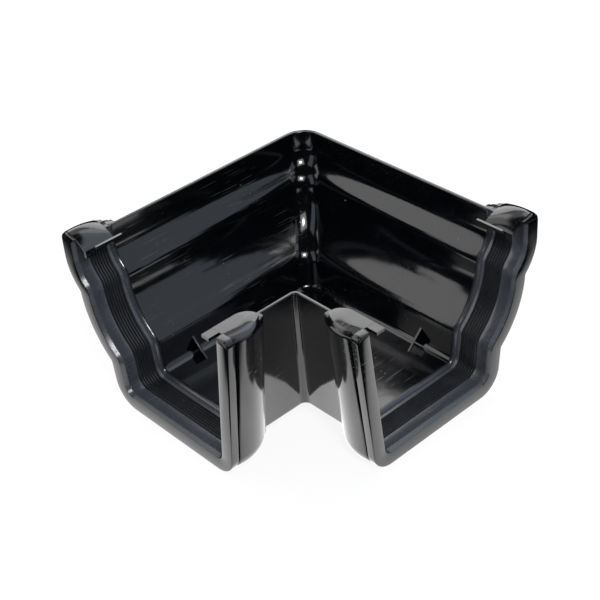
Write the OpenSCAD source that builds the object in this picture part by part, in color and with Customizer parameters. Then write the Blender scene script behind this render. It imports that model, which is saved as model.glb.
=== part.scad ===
// Gutter external angle: a moulded corner piece that carries an ogee gutter round
// the outside corner of a building. Two short troughs meet at a right angle, and each
// ends in a socket with a rubber seal, a front clip and a back clip.
// The building stands where x and y are both negative, and z is up.

/* [Gutter section] */
// Width of the trough over its top edges
gutter_w = 110; // [104:1:130]
// Height of the front wall over the underside
front_h = 81; // [78:1:95]
// Height of the back wall over the underside
back_h = 76.5; // [70:0.5:90]
// Thickness of the trough's walls
wall = 2; // [1.6:0.1:2.6]
// Lean of the back wall from upright, in degrees
back_lean_angle = 5.6; // [1:0.1:8]
// Radius of the corner between back wall and floor
heel_r = 3.5; // [3:0.5:6]
// Radius of the corner between floor and front wall
toe_r = 6; // [4:0.5:9]
// Length of the straight riser above the floor
riser_len = 11; // [6:0.5:16]
// Angle of the riser from the floor, in degrees
riser_angle = 84; // [80:1:88]
// Radius of the two hollow curves, measured on the trough's outside
cove_r = 10.5; // [9.5:0.5:13]
// Angle from the floor at which the lower hollow meets the belly, in degrees
belly_start_angle = 41; // [36:1:48]
// Angle from the floor at which the belly ends, in degrees
belly_end_angle = 86; // [80:1:88]
// Radius of the belly
belly_r = 41.5; // [34:0.5:44]
// Angle from the floor at which the upper hollow meets the crown, in degrees
crown_start_angle = 44; // [38:1:52]
// Radius of the crown under the front edge
crown_r = 17; // [12:0.5:20]

/* [Arms and corner] */
// Distance from the building corner to each mouth
arm_len = 49; // [42:1:90]
// Plan radius of the bend at the back wall
bend_in_r = 3; // [2:0.5:6]
// Plan radius of the bend at the front edge
bend_out_r = 13; // [8:0.5:20]

/* [Socket] */
// Distance that the rim stands proud of the trough
rim_out = 8; // [7:0.5:8.5]
// Width of the rim along the gutter
rim_w = 4.8; // [4:0.1:6]
// Radius of the rim's front and rear edges
rim_edge_r = 0.6; // [0.4:0.1:1.2]
// Width of the groove behind the rim
groove_w = 0.8; // [0.6:0.1:1.4]
// Depth of the groove below the rim
groove_d = 1.7; // [0.6:0.1:2.2]
// Distance that the barrel stands proud of the trough at its widest
barrel_out = 8.6; // [8:0.1:10]
// Radius of the barrel's curve along the gutter
barrel_r = 24; // [22:0.5:34]
// Distance of the barrel's widest ring from the mouth
barrel_peak = 11; // [8:0.5:13]
// Distance of the barrel's inner end from the mouth
barrel_end = 25.5; // [24.5:0.5:27.5]
// Width of the lip at the barrel's inner end
end_lip_w = 1.4; // [0.8:0.1:2]
// Step from the barrel down to its end lip
end_lip_d = 0.8; // [0.4:0.1:1.2]
// Gap between the mouth's inner edge and the gutter that enters it
mouth_gap = 0.5; // [0.3:0.1:0.9]
// Length of the lead-in bevel inside the mouth
lead_in = 2.5; // [1:0.1:3.5]
// Depth of the land inside the mouth, inwards of the trough's outside
land_in = 0.2; // [0:0.1:0.4]
// Length of the rounded step up to the trough's inside
step_len = 2.5; // [1.5:0.1:3]

/* [Seal] */
// Distance of the seal groove from the mouth
seal_start = 9; // [8:0.5:10]
// Width of the seal groove
seal_w = 11; // [9:0.5:12]
// Depth of the seal groove, outwards of the trough's outside
seal_depth = 3; // [2.4:0.1:4]
// Gap between the seal and its groove
seal_clear = 0.1; // [0.05:0.05:0.3]
// Number of lips on the seal
lip_count = 7; // [3:1:8]
// Height of the lips over the seal's body
lip_h = 1.2; // [0.8:0.1:1.6]
// Thickness of the seal's body
seal_t = 2.5; // [2:0.1:3]

/* [Front clip] */
// Height of the hood over the front edge
hood_rise = 4.8; // [4:0.1:7]
// Radius of the hood's outer shoulder
hood_shoulder_r = 5.2; // [4.5:0.1:6]
// Radius of the hood's slope towards the inside
hood_slope_r = 22; // [18:1:30]
// Thickness of the hood
hood_t = 1.7; // [1.2:0.1:2.2]
// Distance of the hood's highest ring from the mouth
hood_peak = 6; // [4:0.5:10]
// Radius over the top of the rim under the hood
rim_top_r = 4.5; // [3:0.5:5]
// Radius of the hood's dome along the gutter
hood_dome_r = 36; // [30:1:60]
// Distance of the hood's outer end from the mouth
hood_start = 1.5; // [1:0.5:3]
// Distance of the hood's inner end from the mouth
hood_end = 19; // [17:0.5:21]
// Length of the bar's tab beyond the hood's inner end
hood_tab_len = 4.5; // [2:0.5:6]
// Width of the bar along the hood's free edge
hood_tab_w = 1.4; // [1.2:0.1:2.4]
// Distance of the bar's outer end from the mouth
hood_bar_start = 7.3; // [6:0.1:10]
// Height of the bar over the hood's free edge
hood_bar_rise = 0.3; // [0.1:0.1:0.6]
// Drop of the lug at the hood's outer end
lug_drop = 2.4; // [1.5:0.1:4]
// Length of the lug along the gutter
lug_len = 4; // [3:0.5:6]
// Distance of the barrel top's inner end from the mouth
front_cap_end = 22.3; // [21:0.1:24]
// Rise of the barrel's top over the front edge
front_cap_rise = 1.2; // [0.8:0.1:3]

/* [Back clip] */
// Rise of the back plate over the back wall
plate_rise = 1.3; // [1:0.1:2]
// Thickness of the back plate
plate_t = 1.8; // [1.4:0.1:2.4]
// Reach of the back plate over the trough
plate_in = 6.6; // [5:0.2:8]
// Distance of the back plate's outer end from the mouth
plate_start = 3.8; // [2:0.2:4.4]
// Distance from the mouth at which the plate's free edge starts to curve
plate_curve_at = 17; // [14:0.5:19]
// Width of the roll from the back plate to the barrel's side
roll_w = 9; // [7:0.5:10]
// Height of that roll
roll_h = 3; // [2.6:0.1:4]
// Width of the rim's rounded top at the back
rim_roll_w = 2.6; // [1.5:0.1:5]
// Fall of the back plate towards its inner end
plate_fall = 0.8; // [0:0.1:1]
// Reach of the back tab beyond the mouth
tab_out = 2.5; // [1:0.5:4]
// Width of the back tab
tab_w = 5; // [3:0.1:6]

/* [Stop ribs] */
// Distance of the stop ribs from the building corner
rib_at = 3.5; // [1:0.5:10]
// Leg of the stop ribs
rib_leg = 10.5; // [6:0.5:12]
// Thickness of the stop ribs
rib_t = 1.5; // [1.2:0.1:2.5]

/* [Hidden] */
// Overlap that fuses one feature to the next, and the step in from its sides
bite = 1;
tuck = 0.06;
// The seal ends this far below the trough's top edges, clear of the barrel's top
seal_drop = 2 * bite + seal_clear;
// Steps in the bend, the barrel and the small rounds
bend_steps = 7;
barrel_steps = 4;
round_steps = 3;
hood_steps = 4;
plate_steps = 5;
// Thickness of the slices that a domed form is drawn between
thin = 0.01;
// Turns of the section's curves, as [radius, end angle, steps], with the heading from
// the floor in degrees and a hollow curve's radius below zero
heel_turn = [heel_r, 0, 4];
toe_turn = [toe_r, riser_angle, 5];
cove_turn = [-cove_r, belly_start_angle, 4];
belly_turn = [belly_r, belly_end_angle, 8];
throat_turn = [-cove_r, crown_start_angle, 4];
crown_turn = [crown_r, 90, 5];

function normal(a) = [sin(a), -cos(a)];
function turn_shift(r, a0, a1) = r * (normal(a1) - normal(a0));

// The front wall's curves reach this far across and up
front_reach = turn_shift(toe_r, 0, riser_angle)
    + riser_len * [cos(riser_angle), sin(riser_angle)]
    + turn_shift(-cove_r, riser_angle, belly_start_angle)
    + turn_shift(belly_r, belly_start_angle, belly_end_angle)
    + turn_shift(-cove_r, belly_end_angle, crown_start_angle)
    + turn_shift(crown_r, crown_start_angle, 90);
heel_reach = turn_shift(heel_r, back_lean_angle - 90, 0);
back_len = (back_h + heel_reach[1]) / cos(back_lean_angle);
back_reach = back_len * sin(back_lean_angle) + heel_reach[0];
floor_len = gutter_w - back_reach - front_reach[0];
upright_len = front_h - front_reach[1];

// Points of one curve after its start, each as [place, normal]
function turn(at, a0, t) = [
    for (k = [1:t[2]])
        let (a = a0 + (t[1] - a0) * k / t[2])
        [at + turn_shift(t[0], a0, a), normal(a)]
];
function after(points, step) = points[len(points) - 1][0] + step;
function end_of(points) = points[len(points) - 1][0];

// The section's path on the trough's outside, from the back edge to the front edge.
// The first and last normals lie level, so both edges stay flat.
down_back = [sin(back_lean_angle), -cos(back_lean_angle)];
path_back = [
    [[0, back_h], [-1 / cos(back_lean_angle), 0]],
    [[0, back_h] + (roll_h - plate_rise - 5 * tuck) * down_back, normal(back_lean_angle - 90)],
    [[0, back_h] + back_len * down_back, normal(back_lean_angle - 90)]
];
path_heel = turn(end_of(path_back), back_lean_angle - 90, heel_turn);
path_floor = [[after(path_heel, [floor_len, 0]), normal(0)]];
path_toe = turn(end_of(path_floor), 0, toe_turn);
path_riser = [[
    after(path_toe, riser_len * [cos(riser_angle), sin(riser_angle)]),
    normal(riser_angle)
]];
path_cove = turn(end_of(path_riser), riser_angle, cove_turn);
path_belly = turn(end_of(path_cove), belly_start_angle, belly_turn);
path_throat = turn(end_of(path_belly), belly_end_angle, throat_turn);
path_crown = turn(end_of(path_throat), crown_start_angle, crown_turn);
path_edge = [[after(path_crown, [0, upright_len]), normal(90)]];
path = concat(
    path_back, path_heel, path_floor, path_toe, path_riser,
    path_cove, path_belly, path_throat, path_crown, path_edge
);

// Beyond the seal's depth, the back edge draws in under the roll that closes it
function drawn_in(out) = min(out, seal_depth + (out - seal_depth) / 5);
function path_point(i, out) = path[i][0] + (i == 0 ? drawn_in(out) : out) * path[i][1];
function bend_r(y) = bend_in_r + (bend_out_r - bend_in_r) * y / gutter_w;

// A station is [distance from the mouth, distance outwards of the trough]
function round_off(s, out, r, a0, a1) = [
    for (k = [0:round_steps])
        let (a = a0 + (a1 - a0) * k / round_steps)
        [s + r * cos(a), out + r * sin(a)]
];
function barrel_at(s) = barrel_out - barrel_r * (1 - cos(asin((s - barrel_peak) / barrel_r)));
barrel_start = rim_w + groove_w;
barrel_marks = concat(
    [barrel_start, (barrel_start + barrel_peak) / 2],
    [for (k = [0:barrel_steps]) barrel_peak + (barrel_end - barrel_peak) * k / barrel_steps]
);
barrel_line = [for (s = barrel_marks) [s, barrel_at(s)]];
lip_end = barrel_end + end_lip_w;
lip_out = barrel_at(barrel_end) - end_lip_d;
straight_end = arm_len - bend_in_r - bend_out_r / 4;
outer_line = concat(
    round_off(rim_edge_r, rim_out - rim_edge_r, rim_edge_r, 180, 90),
    round_off(rim_w - rim_edge_r, rim_out - rim_edge_r, rim_edge_r, 90, 0),
    [[rim_w, rim_out - groove_d - rim_edge_r], [barrel_start, rim_out - groove_d - rim_edge_r]],
    barrel_line,
    [[barrel_end, lip_out], [lip_end, lip_out], [lip_end, 0], [straight_end, 0]]
);
seal_end = seal_start + seal_w;
step_start = seal_end + wall;
inner_line = concat(
    [[0, mouth_gap], [lead_in, -land_in], [seal_start, -land_in]],
    [[seal_start, seal_depth], [seal_end, seal_depth], [seal_end, -land_in]],
    [
        for (k = [0:round_steps])
            let (a = 90 * k / round_steps)
            [step_start + step_len * (1 - cos(a)), -land_in - (wall - land_in) * sin(a)]
    ],
    [[straight_end, -wall]]
);

// The places on one arm, on the bend and on the other arm, for path point i
function arm_point(s, i, out) =
    let (q = path_point(i, out))
    [s - arm_len, q[0], q[1]];
function swap(p) = [p[1], p[0], p[2]];
function bend_points(i, out) =
    let (q = path_point(i, out), r = bend_r(q[0]), c = q[0] - r)
    [for (k = [0:bend_steps]) let (a = 90 * k / bend_steps) [c + r * sin(a), c + r * cos(a), q[1]]];
function flipped(list) = [for (k = [len(list) - 1:-1:0]) list[k]];
function side_points(line, i, out) = concat(
    [for (p = line) arm_point(p[0], i, p[1])],
    bend_points(i, out),
    flipped([for (p = line) swap(arm_point(p[0], i, p[1]))])
);
// A closed ring: outside from the left mouth to the right one, then back inside
function body_ring(i) = concat(
    side_points(outer_line, i, 0),
    flipped(side_points(inner_line, i, -wall))
);

// The side faces of a solid swept through rings of n points each
function sides(n, last) = [
    for (j = [0:last - 1], k = [0:n - 1])
        [j * n + k, j * n + (k + 1) % n, (j + 1) * n + (k + 1) % n, (j + 1) * n + k]
];

module swept(rings) {
    n = len(rings[0]);
    last = len(rings) - 1;
    polyhedron(
        points = [for (ring = rings) each ring],
        faces = concat(
            [[for (k = [n - 1:-1:0]) k]],
            [[for (k = [0:n - 1]) last * n + k]],
            sides(n, last)
        ),
        convexity = 12
    );
}

// Turns a drawing in y and z into a solid that runs along the left arm
module along_arm(s0, s1) {
    translate([s0 - arm_len, 0, 0])
        rotate([90, 0, 90])
            linear_extrude(s1 - s0)
                children();
}

// Turns a drawing in plan into a solid between two heights
module upright(z0, z1) {
    translate([0, 0, z0])
        linear_extrude(z1 - z0)
            children();
}

module both_arms() {
    children();
    mirror([1, -1, 0])
        children();
}

module trough_and_sockets() {
    swept([for (i = [0:len(path) - 1]) body_ring(i)]);
}

function oval_points(centre, w, h, a0, a1, steps) = [
    for (k = [0:steps])
        let (a = a0 + (a1 - a0) * k / steps)
        centre + [w * cos(a), h * sin(a)]
];
function arc_points(centre, r, a0, a1, steps) = oval_points(centre, r, r, a0, a1, steps);

// Front clip: a curved hood over the gutter's front edge, domed along the gutter
shoulder_angle = 100;
slope_angle = 136;
hood_top = front_h + hood_rise;
hood_side = gutter_w + rim_out + 2 * tuck;
shoulder_at = [hood_side - hood_shoulder_r, hood_top - hood_shoulder_r];
slope_at = shoulder_at
    + (hood_shoulder_r - hood_slope_r) * [cos(shoulder_angle), sin(shoulder_angle)];
hood_edge = slope_at + hood_slope_r * [cos(slope_angle), sin(slope_angle)];
function dome_at(s) = 1 - pow(s - hood_peak, 2) / (2 * hood_dome_r * (hood_top - hood_edge[1]));
function domed(points, s) = [
    for (p = points) [p[0], hood_edge[1] + (p[1] - hood_edge[1]) * dome_at(s)]
];
function hood_section(inset) = concat(
    [
        [hood_edge[0] + inset, hood_edge[1] - 2 * hood_t - inset],
        [hood_side - inset, front_h - bite - inset]
    ],
    arc_points(shoulder_at, hood_shoulder_r - inset, 0, shoulder_angle, 10),
    arc_points(slope_at, hood_slope_r - inset, shoulder_angle, slope_angle, 5)
);

module hood_mass(inset, s0, s1) {
    step = (s1 - s0) / hood_steps;
    for (k = [0:hood_steps - 1])
        hull()
            for (s = [s0 + k * step, s0 + (k + 1) * step])
                along_arm(s - thin, s)
                    polygon(domed(hood_section(inset), s));
}

module hood() {
    difference() {
        hood_mass(0, hood_start + thin, hood_end);
        hood_mass(hood_t, hood_start - bite, hood_end + bite);
        along_arm(hood_start - bite, hood_end + bite)
            translate([hood_edge[0] - bite, hood_edge[1] - 4 * hood_t])
                square([gutter_w - hood_edge[0], 3 * hood_t]);
    }
}

module hood_tab() {
    along_arm(hood_bar_start, hood_end + hood_tab_len)
        translate([hood_edge[0] + 5 * tuck - hood_tab_w, hood_edge[1] + hood_bar_rise - hood_t])
            square([hood_tab_w, hood_t]);
    along_arm(hood_start + tuck, hood_start + lug_len)
        translate([hood_edge[0] - 2 * tuck, hood_edge[1] - hood_t - lug_drop])
            square([hood_t, lug_drop + bite]);
}

// The rim and the barrel close over the top of the front wall, under the hood
module front_cap() {
    rim_top = hood_top - hood_t / 2;
    rim_side = gutter_w + rim_out - tuck;
    along_arm(tuck, rim_w - tuck)
        polygon(concat(
            [[gutter_w + mouth_gap + tuck, front_h - bite], [rim_side, front_h - bite]],
            arc_points(
                [rim_side - rim_top_r, rim_top - rim_top_r], rim_top_r, 0, shoulder_angle, 6
            ),
            [[gutter_w - wall * 1.6, rim_top - bite], [gutter_w + mouth_gap + tuck, front_h + tuck]]
        ));
    intersection() {
        along_arm(rim_w - bite, front_cap_end)
            polygon([
                [gutter_w - land_in + tuck, front_h - 2 * bite],
                [gutter_w + barrel_out, front_h - 2 * bite],
                [gutter_w + barrel_out, front_h],
                [gutter_w + rim_out * 0.7, front_h + front_cap_rise * 0.8],
                [gutter_w + rim_out * 0.4, front_h + front_cap_rise],
                [gutter_w + wall / 2, front_h + front_cap_rise * 0.8],
                [gutter_w - wall, front_h + front_cap_rise * 0.3],
                [gutter_w - wall, front_h + tuck],
                [gutter_w - land_in + tuck, front_h + tuck]
            ]);
        upright(front_h - 3 * bite, hood_top)
            polygon([
                for (p = concat([[0, -wall * 2]], barrel_plan(), [[lip_end, -wall * 2]]))
                    [p[0] + tuck - arm_len, gutter_w + p[1] - tuck]
            ]);
    }
}

// The barrel's outline in plan, from the groove to the end lip
function barrel_plan() = concat(
    [[0, rim_out - groove_d], [barrel_start, rim_out - groove_d]],
    barrel_line,
    [[barrel_end, lip_out], [lip_end, lip_out]]
);

// Back clip: a plate over the back wall that rolls down into the barrel's side
plate_top = back_h + plate_rise;
function plate_part(s) = max(0, (s - plate_curve_at) / (lip_end - plate_curve_at));
function plate_reach(s) = plate_in - (plate_in + lip_out) * (1 - cos(asin(plate_part(s))));
function plate_side(s) = max(barrel_at(s), lip_out) - tuck;
// The plate's section at s, cut off where its free edge has drawn back over the roll
function plate_section(s) =
    let (
        fall = plate_fall * pow(plate_part(s), 2),
        side = plate_side(s),
        reach = max(plate_reach(s), tuck - side),
        start = acos(max(-1, min(0, (reach + side) / roll_w - 1)))
    )
    concat(
        oval_points([roll_w - side, plate_top - roll_h], roll_w, roll_h - fall, 180, start, 6),
        [[reach, plate_top - fall - (start > 90 ? (roll_h - fall) * (1 - sin(start)) : 0)]],
        [[reach, plate_top - roll_h]]
    );

module back_clip() {
    marks = concat(
        [plate_start, barrel_peak + bite, plate_curve_at],
        [
            for (k = [1:plate_steps])
                plate_curve_at + (lip_end - tuck - plate_curve_at) * sin(90 * k / plate_steps)
        ]
    );
    difference() {
        for (k = [0:len(marks) - 2])
            hull()
                for (s = [marks[k], marks[k + 1]])
                    along_arm(s - thin, s)
                        polygon(plate_section(s));
        along_arm(0, arm_len)
            translate([-seal_depth - 4 * tuck, plate_top - 2 * roll_h])
                square([plate_in * 3, 2 * roll_h - plate_t]);
    }
    along_arm(tuck, rim_w - tuck)
        polygon(concat(
            oval_points(
                [rim_roll_w - rim_out + tuck, plate_top - tuck - roll_h], rim_roll_w, roll_h,
                180, 90, 6
            ),
            [[-mouth_gap - tuck, plate_top - tuck], [-mouth_gap - tuck, back_h - bite]]
        ));
    along_arm(-tab_out, plate_start + bite)
        translate([plate_in - tab_w, plate_top - plate_t + tuck])
            square([tab_w - tuck, plate_t - 2 * tuck]);
}

// Stop rib: a small gusset between floor and riser
module stop_rib() {
    toe = end_of(path_floor);
    translate([arm_len - rib_at - rib_t / 2, 0, 0])
        along_arm(0, rib_t)
            intersection() {
                translate([end_of(path_riser)[0] - wall - rib_leg, wall / 2])
                    polygon([
                        [0, wall / 2],
                        [0, 0],
                        [rib_leg + wall, 0],
                        [rib_leg + wall, rib_leg + wall],
                        [rib_leg, rib_leg + wall / 2]
                    ]);
                polygon([for (i = [0:len(path) - 1]) path_point(i, -wall / 2)]);
            }
}

module angle_body() {
    color("#17191c")
        union() {
            trough_and_sockets();
            both_arms() {
                front_cap();
                hood();
                hood_tab();
                back_clip();
                stop_rib();
            }
        }
}

// Seal: a rubber strip with lips, seated in the socket's groove
seal_s0 = seal_start + seal_clear;
seal_pitch = (seal_w - 2 * seal_clear) / lip_count;
seal_base = seal_depth - seal_clear;
seal_top = seal_base - seal_t;
function seal_section() = concat(
    [for (k = [0:lip_count]) [seal_s0 + seal_pitch * k, seal_base]],
    [[seal_s0 + seal_pitch * lip_count, seal_top]],
    [
        for (k = [lip_count - 1:-1:0], q = [[0.35, -lip_h], [0, 0]])
            [seal_s0 + seal_pitch * (k + q[0]), seal_top + q[1]]
    ]
);
// Each lip closes with its own five-sided end face
function seal_end_faces(first) = [
    for (k = [0:lip_count - 1])
        let (v = 3 * lip_count + 1 - 2 * k)
        [for (j = [k, k + 1, v - 2, v - 1, v]) first + j]
];

// The seal stops short of both top edges
function seal_point(s, i, out) = arm_point(s, i, out)
    - (i == 0 ? seal_drop * [0, -sin(back_lean_angle), cos(back_lean_angle)] : [0, 0, 0])
    - (i == len(path) - 1 ? seal_drop * [0, 0, 1] : [0, 0, 0]);

module seal() {
    n = 3 * lip_count + 2;
    last = len(path) - 1;
    polyhedron(
        points = [for (i = [0:last]) each [for (p = seal_section()) seal_point(p[0], i, p[1])]],
        faces = concat(
            [for (f = seal_end_faces(0)) flipped(f)],
            seal_end_faces(last * n),
            sides(n, last)
        ),
        convexity = 12
    );
}

module left_seal() {
    color("#26282b")
        seal();
}

module right_seal() {
    color("#26282b")
        mirror([1, -1, 0])
            seal();
}

angle_body();
left_seal();
right_seal();
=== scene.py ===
"""Dresses the gutter external angle: the glossy moulding, its clips, ribs and rubber seals."""
import math

import bpy
from bpy.props import FloatProperty, FloatVectorProperty, IntProperty, PointerProperty
from mathutils import Matrix, Vector


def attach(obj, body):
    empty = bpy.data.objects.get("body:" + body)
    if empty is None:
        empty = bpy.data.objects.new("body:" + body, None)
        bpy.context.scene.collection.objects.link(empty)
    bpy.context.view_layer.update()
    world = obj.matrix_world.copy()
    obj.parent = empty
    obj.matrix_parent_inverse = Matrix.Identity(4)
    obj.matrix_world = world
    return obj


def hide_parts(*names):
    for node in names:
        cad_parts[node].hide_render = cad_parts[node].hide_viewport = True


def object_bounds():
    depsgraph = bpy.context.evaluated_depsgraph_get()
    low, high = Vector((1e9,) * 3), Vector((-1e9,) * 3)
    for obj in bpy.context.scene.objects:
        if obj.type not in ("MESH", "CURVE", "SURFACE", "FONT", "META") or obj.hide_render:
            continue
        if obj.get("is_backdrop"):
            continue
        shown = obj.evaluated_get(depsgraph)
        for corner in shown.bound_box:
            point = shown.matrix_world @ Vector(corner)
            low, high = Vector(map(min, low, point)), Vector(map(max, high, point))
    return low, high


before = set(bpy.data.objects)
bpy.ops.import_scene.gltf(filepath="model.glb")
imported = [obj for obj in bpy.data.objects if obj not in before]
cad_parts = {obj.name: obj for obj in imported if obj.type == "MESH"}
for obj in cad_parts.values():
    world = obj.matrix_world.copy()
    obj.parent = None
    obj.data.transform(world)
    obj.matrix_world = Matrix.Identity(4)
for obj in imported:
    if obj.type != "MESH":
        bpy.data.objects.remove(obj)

bl_info = {
    "name": "Gutter external angle",
    "version": (1, 0, 0),
    "blender": (4, 5, 0),
    "location": "3D View > Sidebar > Gutter",
    "description": "Builds a moulded gutter corner with its sockets, clips and seals",
    "category": "Object",
}

BODY = "root"
LAMP_DISTANCE = 1.3
# Slope with which the land inside the mouth catches the light as it opens towards the mouth
LAND_FLARE = 0.8


def size(name, default, description):
    """A length in metres that a user can change."""
    return FloatProperty(
        name=name, default=default, description=description, unit="LENGTH", precision=5
    )


def angle(name, degrees, description):
    """An angle, given in degrees."""
    return FloatProperty(
        name=name, default=math.radians(degrees), description=description, subtype="ANGLE"
    )


def share(name, default, description):
    """A plain factor from 0 to 1."""
    return FloatProperty(
        name=name, default=default, description=description, subtype="FACTOR", min=0, max=1
    )


def colour(name, default, description):
    """A linear colour."""
    return FloatVectorProperty(
        name=name, default=default, description=description, subtype="COLOR", size=3
    )


class TroughSizes(bpy.types.PropertyGroup):
    """The ogee section and the bend."""

    gutter_width: size("Gutter width", 0.110, "Width over the top edges")
    front_height: size("Front height", 0.081, "Height of the front wall")
    back_height: size("Back height", 0.0765, "Height of the back wall")
    wall: size("Wall", 0.002, "Thickness of the walls")
    back_lean: angle("Back lean", 5.6, "Lean of the back wall from upright")
    heel_radius: size("Heel radius", 0.0035, "Corner between back wall and floor")
    toe_radius: size("Toe radius", 0.006, "Corner between floor and riser")
    riser_length: size("Riser length", 0.011, "Straight riser above the floor")
    riser_angle: angle("Riser angle", 84.0, "Angle of the riser from the floor")
    cove_radius: size("Cove radius", 0.0105, "Radius of the two hollow curves")
    belly_start: angle("Belly start", 41.0, "Angle where the lower hollow meets the belly")
    belly_end: angle("Belly end", 86.0, "Angle where the belly ends")
    belly_radius: size("Belly radius", 0.0415, "Radius of the belly")
    crown_start: angle("Crown start", 44.0, "Angle where the upper hollow meets the crown")
    crown_radius: size("Crown radius", 0.017, "Radius of the crown under the front edge")
    edge_round: size("Edge rounding", 0.0006, "Rounding of the top edges")
    arm_length: size("Arm length", 0.049, "Building corner to each mouth")
    bend_inside: size("Inside bend", 0.003, "Plan radius of the bend at the back wall")
    bend_outside: size("Outside bend", 0.013, "Plan radius of the bend at the front edge")


class SocketSizes(bpy.types.PropertyGroup):
    """The rim, groove, barrel and mouth of each socket."""

    rim_stand: size("Rim stand", 0.008, "How far the rim stands proud")
    rim_width: size("Rim width", 0.0048, "Width of the rim along the gutter")
    rim_round: size("Rim rounding", 0.0006, "Radius of the rim's edges")
    groove_width: size("Groove width", 0.0008, "Width of the groove behind the rim")
    groove_depth: size("Groove depth", 0.0023, "Depth of the groove below the rim")
    barrel_stand: size("Barrel stand", 0.0086, "How far the barrel stands proud")
    barrel_curve: size("Barrel curve", 0.024, "Radius of the barrel along the gutter")
    barrel_peak: size("Barrel peak", 0.011, "Mouth to the barrel's widest ring")
    barrel_end: size("Barrel end", 0.0255, "Mouth to the barrel's inner end")
    lip_width: size("End lip width", 0.0014, "Width of the lip at the inner end")
    lip_step: size("End lip step", 0.0008, "Step down to the end lip")
    mouth_gap: size("Mouth gap", 0.0005, "Gap round the gutter that enters")
    lead_in: size("Lead-in", 0.0025, "Length of the bevel inside the mouth")
    land_stand: size("Land stand", 0.0002, "How far the land stands inwards")
    step_length: size("Step length", 0.0025, "Length of the rounded inner step")
    roll_width: size("Roll width", 0.009, "Width of the roll from plate to side")
    roll_height: size("Roll height", 0.003, "Height of the roll from plate to side")
    rim_roll: size("Rim roll", 0.0026, "Width of the rim's rounded top at the back")


class SealSizes(bpy.types.PropertyGroup):
    """The rubber seal and its groove."""

    groove_start: size("Groove start", 0.009, "Mouth to the seal's groove")
    groove_width: size("Groove width", 0.011, "Width of the seal's groove")
    groove_depth: size("Groove depth", 0.003, "Depth of the seal's groove")
    clearance: size("Clearance", 0.0001, "Gap between seal and groove")
    thickness: size("Thickness", 0.0025, "Thickness of the seal's body")
    lip_count: IntProperty(name="Lips", default=7, min=3, max=8, description="Lips on the seal")
    lip_height: size("Lip height", 0.0012, "Height of the lips")
    end_drop: size("End drop", 0.0021, "How far the seal stops below the top edges")


class ClipSizes(bpy.types.PropertyGroup):
    """The front hood, the back plate and the stop ribs."""

    hood_rise: size("Hood rise", 0.0048, "Hood's height over the front edge")
    shoulder_radius: size("Shoulder radius", 0.0052, "Hood's outer shoulder")
    slope_radius: size("Slope radius", 0.022, "Hood's slope to the inside")
    hood_thickness: size("Hood thickness", 0.0017, "Thickness of the hood")
    hood_start: size("Hood start", 0.0015, "Mouth to the hood's outer end")
    hood_end: size("Hood end", 0.019, "Mouth to the hood's inner end")
    hood_peak: size("Hood peak", 0.006, "Mouth to the hood's highest ring")
    hood_dome: size("Hood dome", 0.036, "Radius of the hood along the gutter")
    tab_length: size("Hood tab", 0.0045, "Bar's tab beyond the hood's inner end")
    tab_width: size("Hood bar width", 0.0014, "Width of the bar on the hood's free edge")
    bar_start: size("Bar start", 0.0073, "Mouth to the bar's outer end")
    bar_rise: size("Bar rise", 0.0003, "Bar over the hood's free edge")
    lug_drop: size("Lug drop", 0.0024, "Drop of the lug at the outer end")
    lug_length: size("Lug length", 0.004, "Length of the lug")
    cap_rise: size("Cap rise", 0.0012, "Barrel's top over the front edge")
    cap_end: size("Cap end", 0.0223, "Mouth to the barrel top's inner end")
    rim_top_radius: size("Rim top radius", 0.0045, "Radius over the rim's top")
    plate_rise: size("Plate rise", 0.0013, "Back plate over the back wall")
    plate_thickness: size("Plate thickness", 0.0018, "Thickness of the back plate")
    plate_reach: size("Plate reach", 0.0066, "Back plate's reach over the trough")
    plate_start: size("Plate start", 0.0038, "Mouth to the plate's outer end")
    plate_turn: size("Plate turn", 0.017, "Where the plate's free edge starts to curve")
    back_tab_reach: size("Back tab reach", 0.0025, "Back tab beyond the mouth")
    back_tab_width: size("Back tab width", 0.005, "Width of the back tab")
    plate_fall: size("Plate fall", 0.0008, "Fall of the plate towards its inner end")
    rib_place: size("Rib place", 0.0035, "Building corner to the stop ribs")
    rib_leg: size("Rib leg", 0.0105, "Leg of the stop ribs")
    rib_thickness: size("Rib thickness", 0.0015, "Thickness of the stop ribs")


class FinishSettings(bpy.types.PropertyGroup):
    """Colours and wear of the plastic and the rubber."""

    plastic: colour("Plastic", (0.0012, 0.0016, 0.0024), "Colour of the moulding")
    rubber: colour("Rubber", (0.012, 0.013, 0.016), "Colour of the seals")
    # Painted light: this lighter colour is mixed into the sockets' plastic to stand in for light falling
    # in them.
    film: colour("Satin and painted light", (0.044, 0.048, 0.057), "Colour of the lightened film in the sockets")
    dust: colour("Dust", (0.34, 0.34, 0.33), "Colour of dust and scratches")
    gloss: share("Gloss roughness", 0.09, "Roughness of the clean plastic")
    dust_amount: share("Dust amount", 0.5, "How much dust lies on the plastic")
    scratch_amount: share("Scratches", 0.5, "How strong the hairline scratches are")


class StageSettings(bpy.types.PropertyGroup):
    """Camera, floor and lamps."""

    azimuth: angle("Azimuth", -40.726, "Camera's turn about the object")
    elevation: angle("Elevation", 35.361, "Camera's angle above the horizon")
    roll: angle("Roll", -4.610, "Camera's roll")
    place: FloatVectorProperty(
        name="Place",
        default=(-0.334578, -0.391819, 0.437467),
        description="Camera's place",
        subtype="TRANSLATION",
        size=3,
    )
    lens: FloatProperty(name="Lens", default=81.0, description="Focal length in millimetres")
    floor: colour("Floor", (0.82, 0.82, 0.82), "Colour of the floor")
    floor_near: FloatProperty(name="Near glow", default=3.4, description="Near floor in reflections")
    floor_far: FloatProperty(name="Far glow", default=0.02, description="Far floor in reflections")


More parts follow.
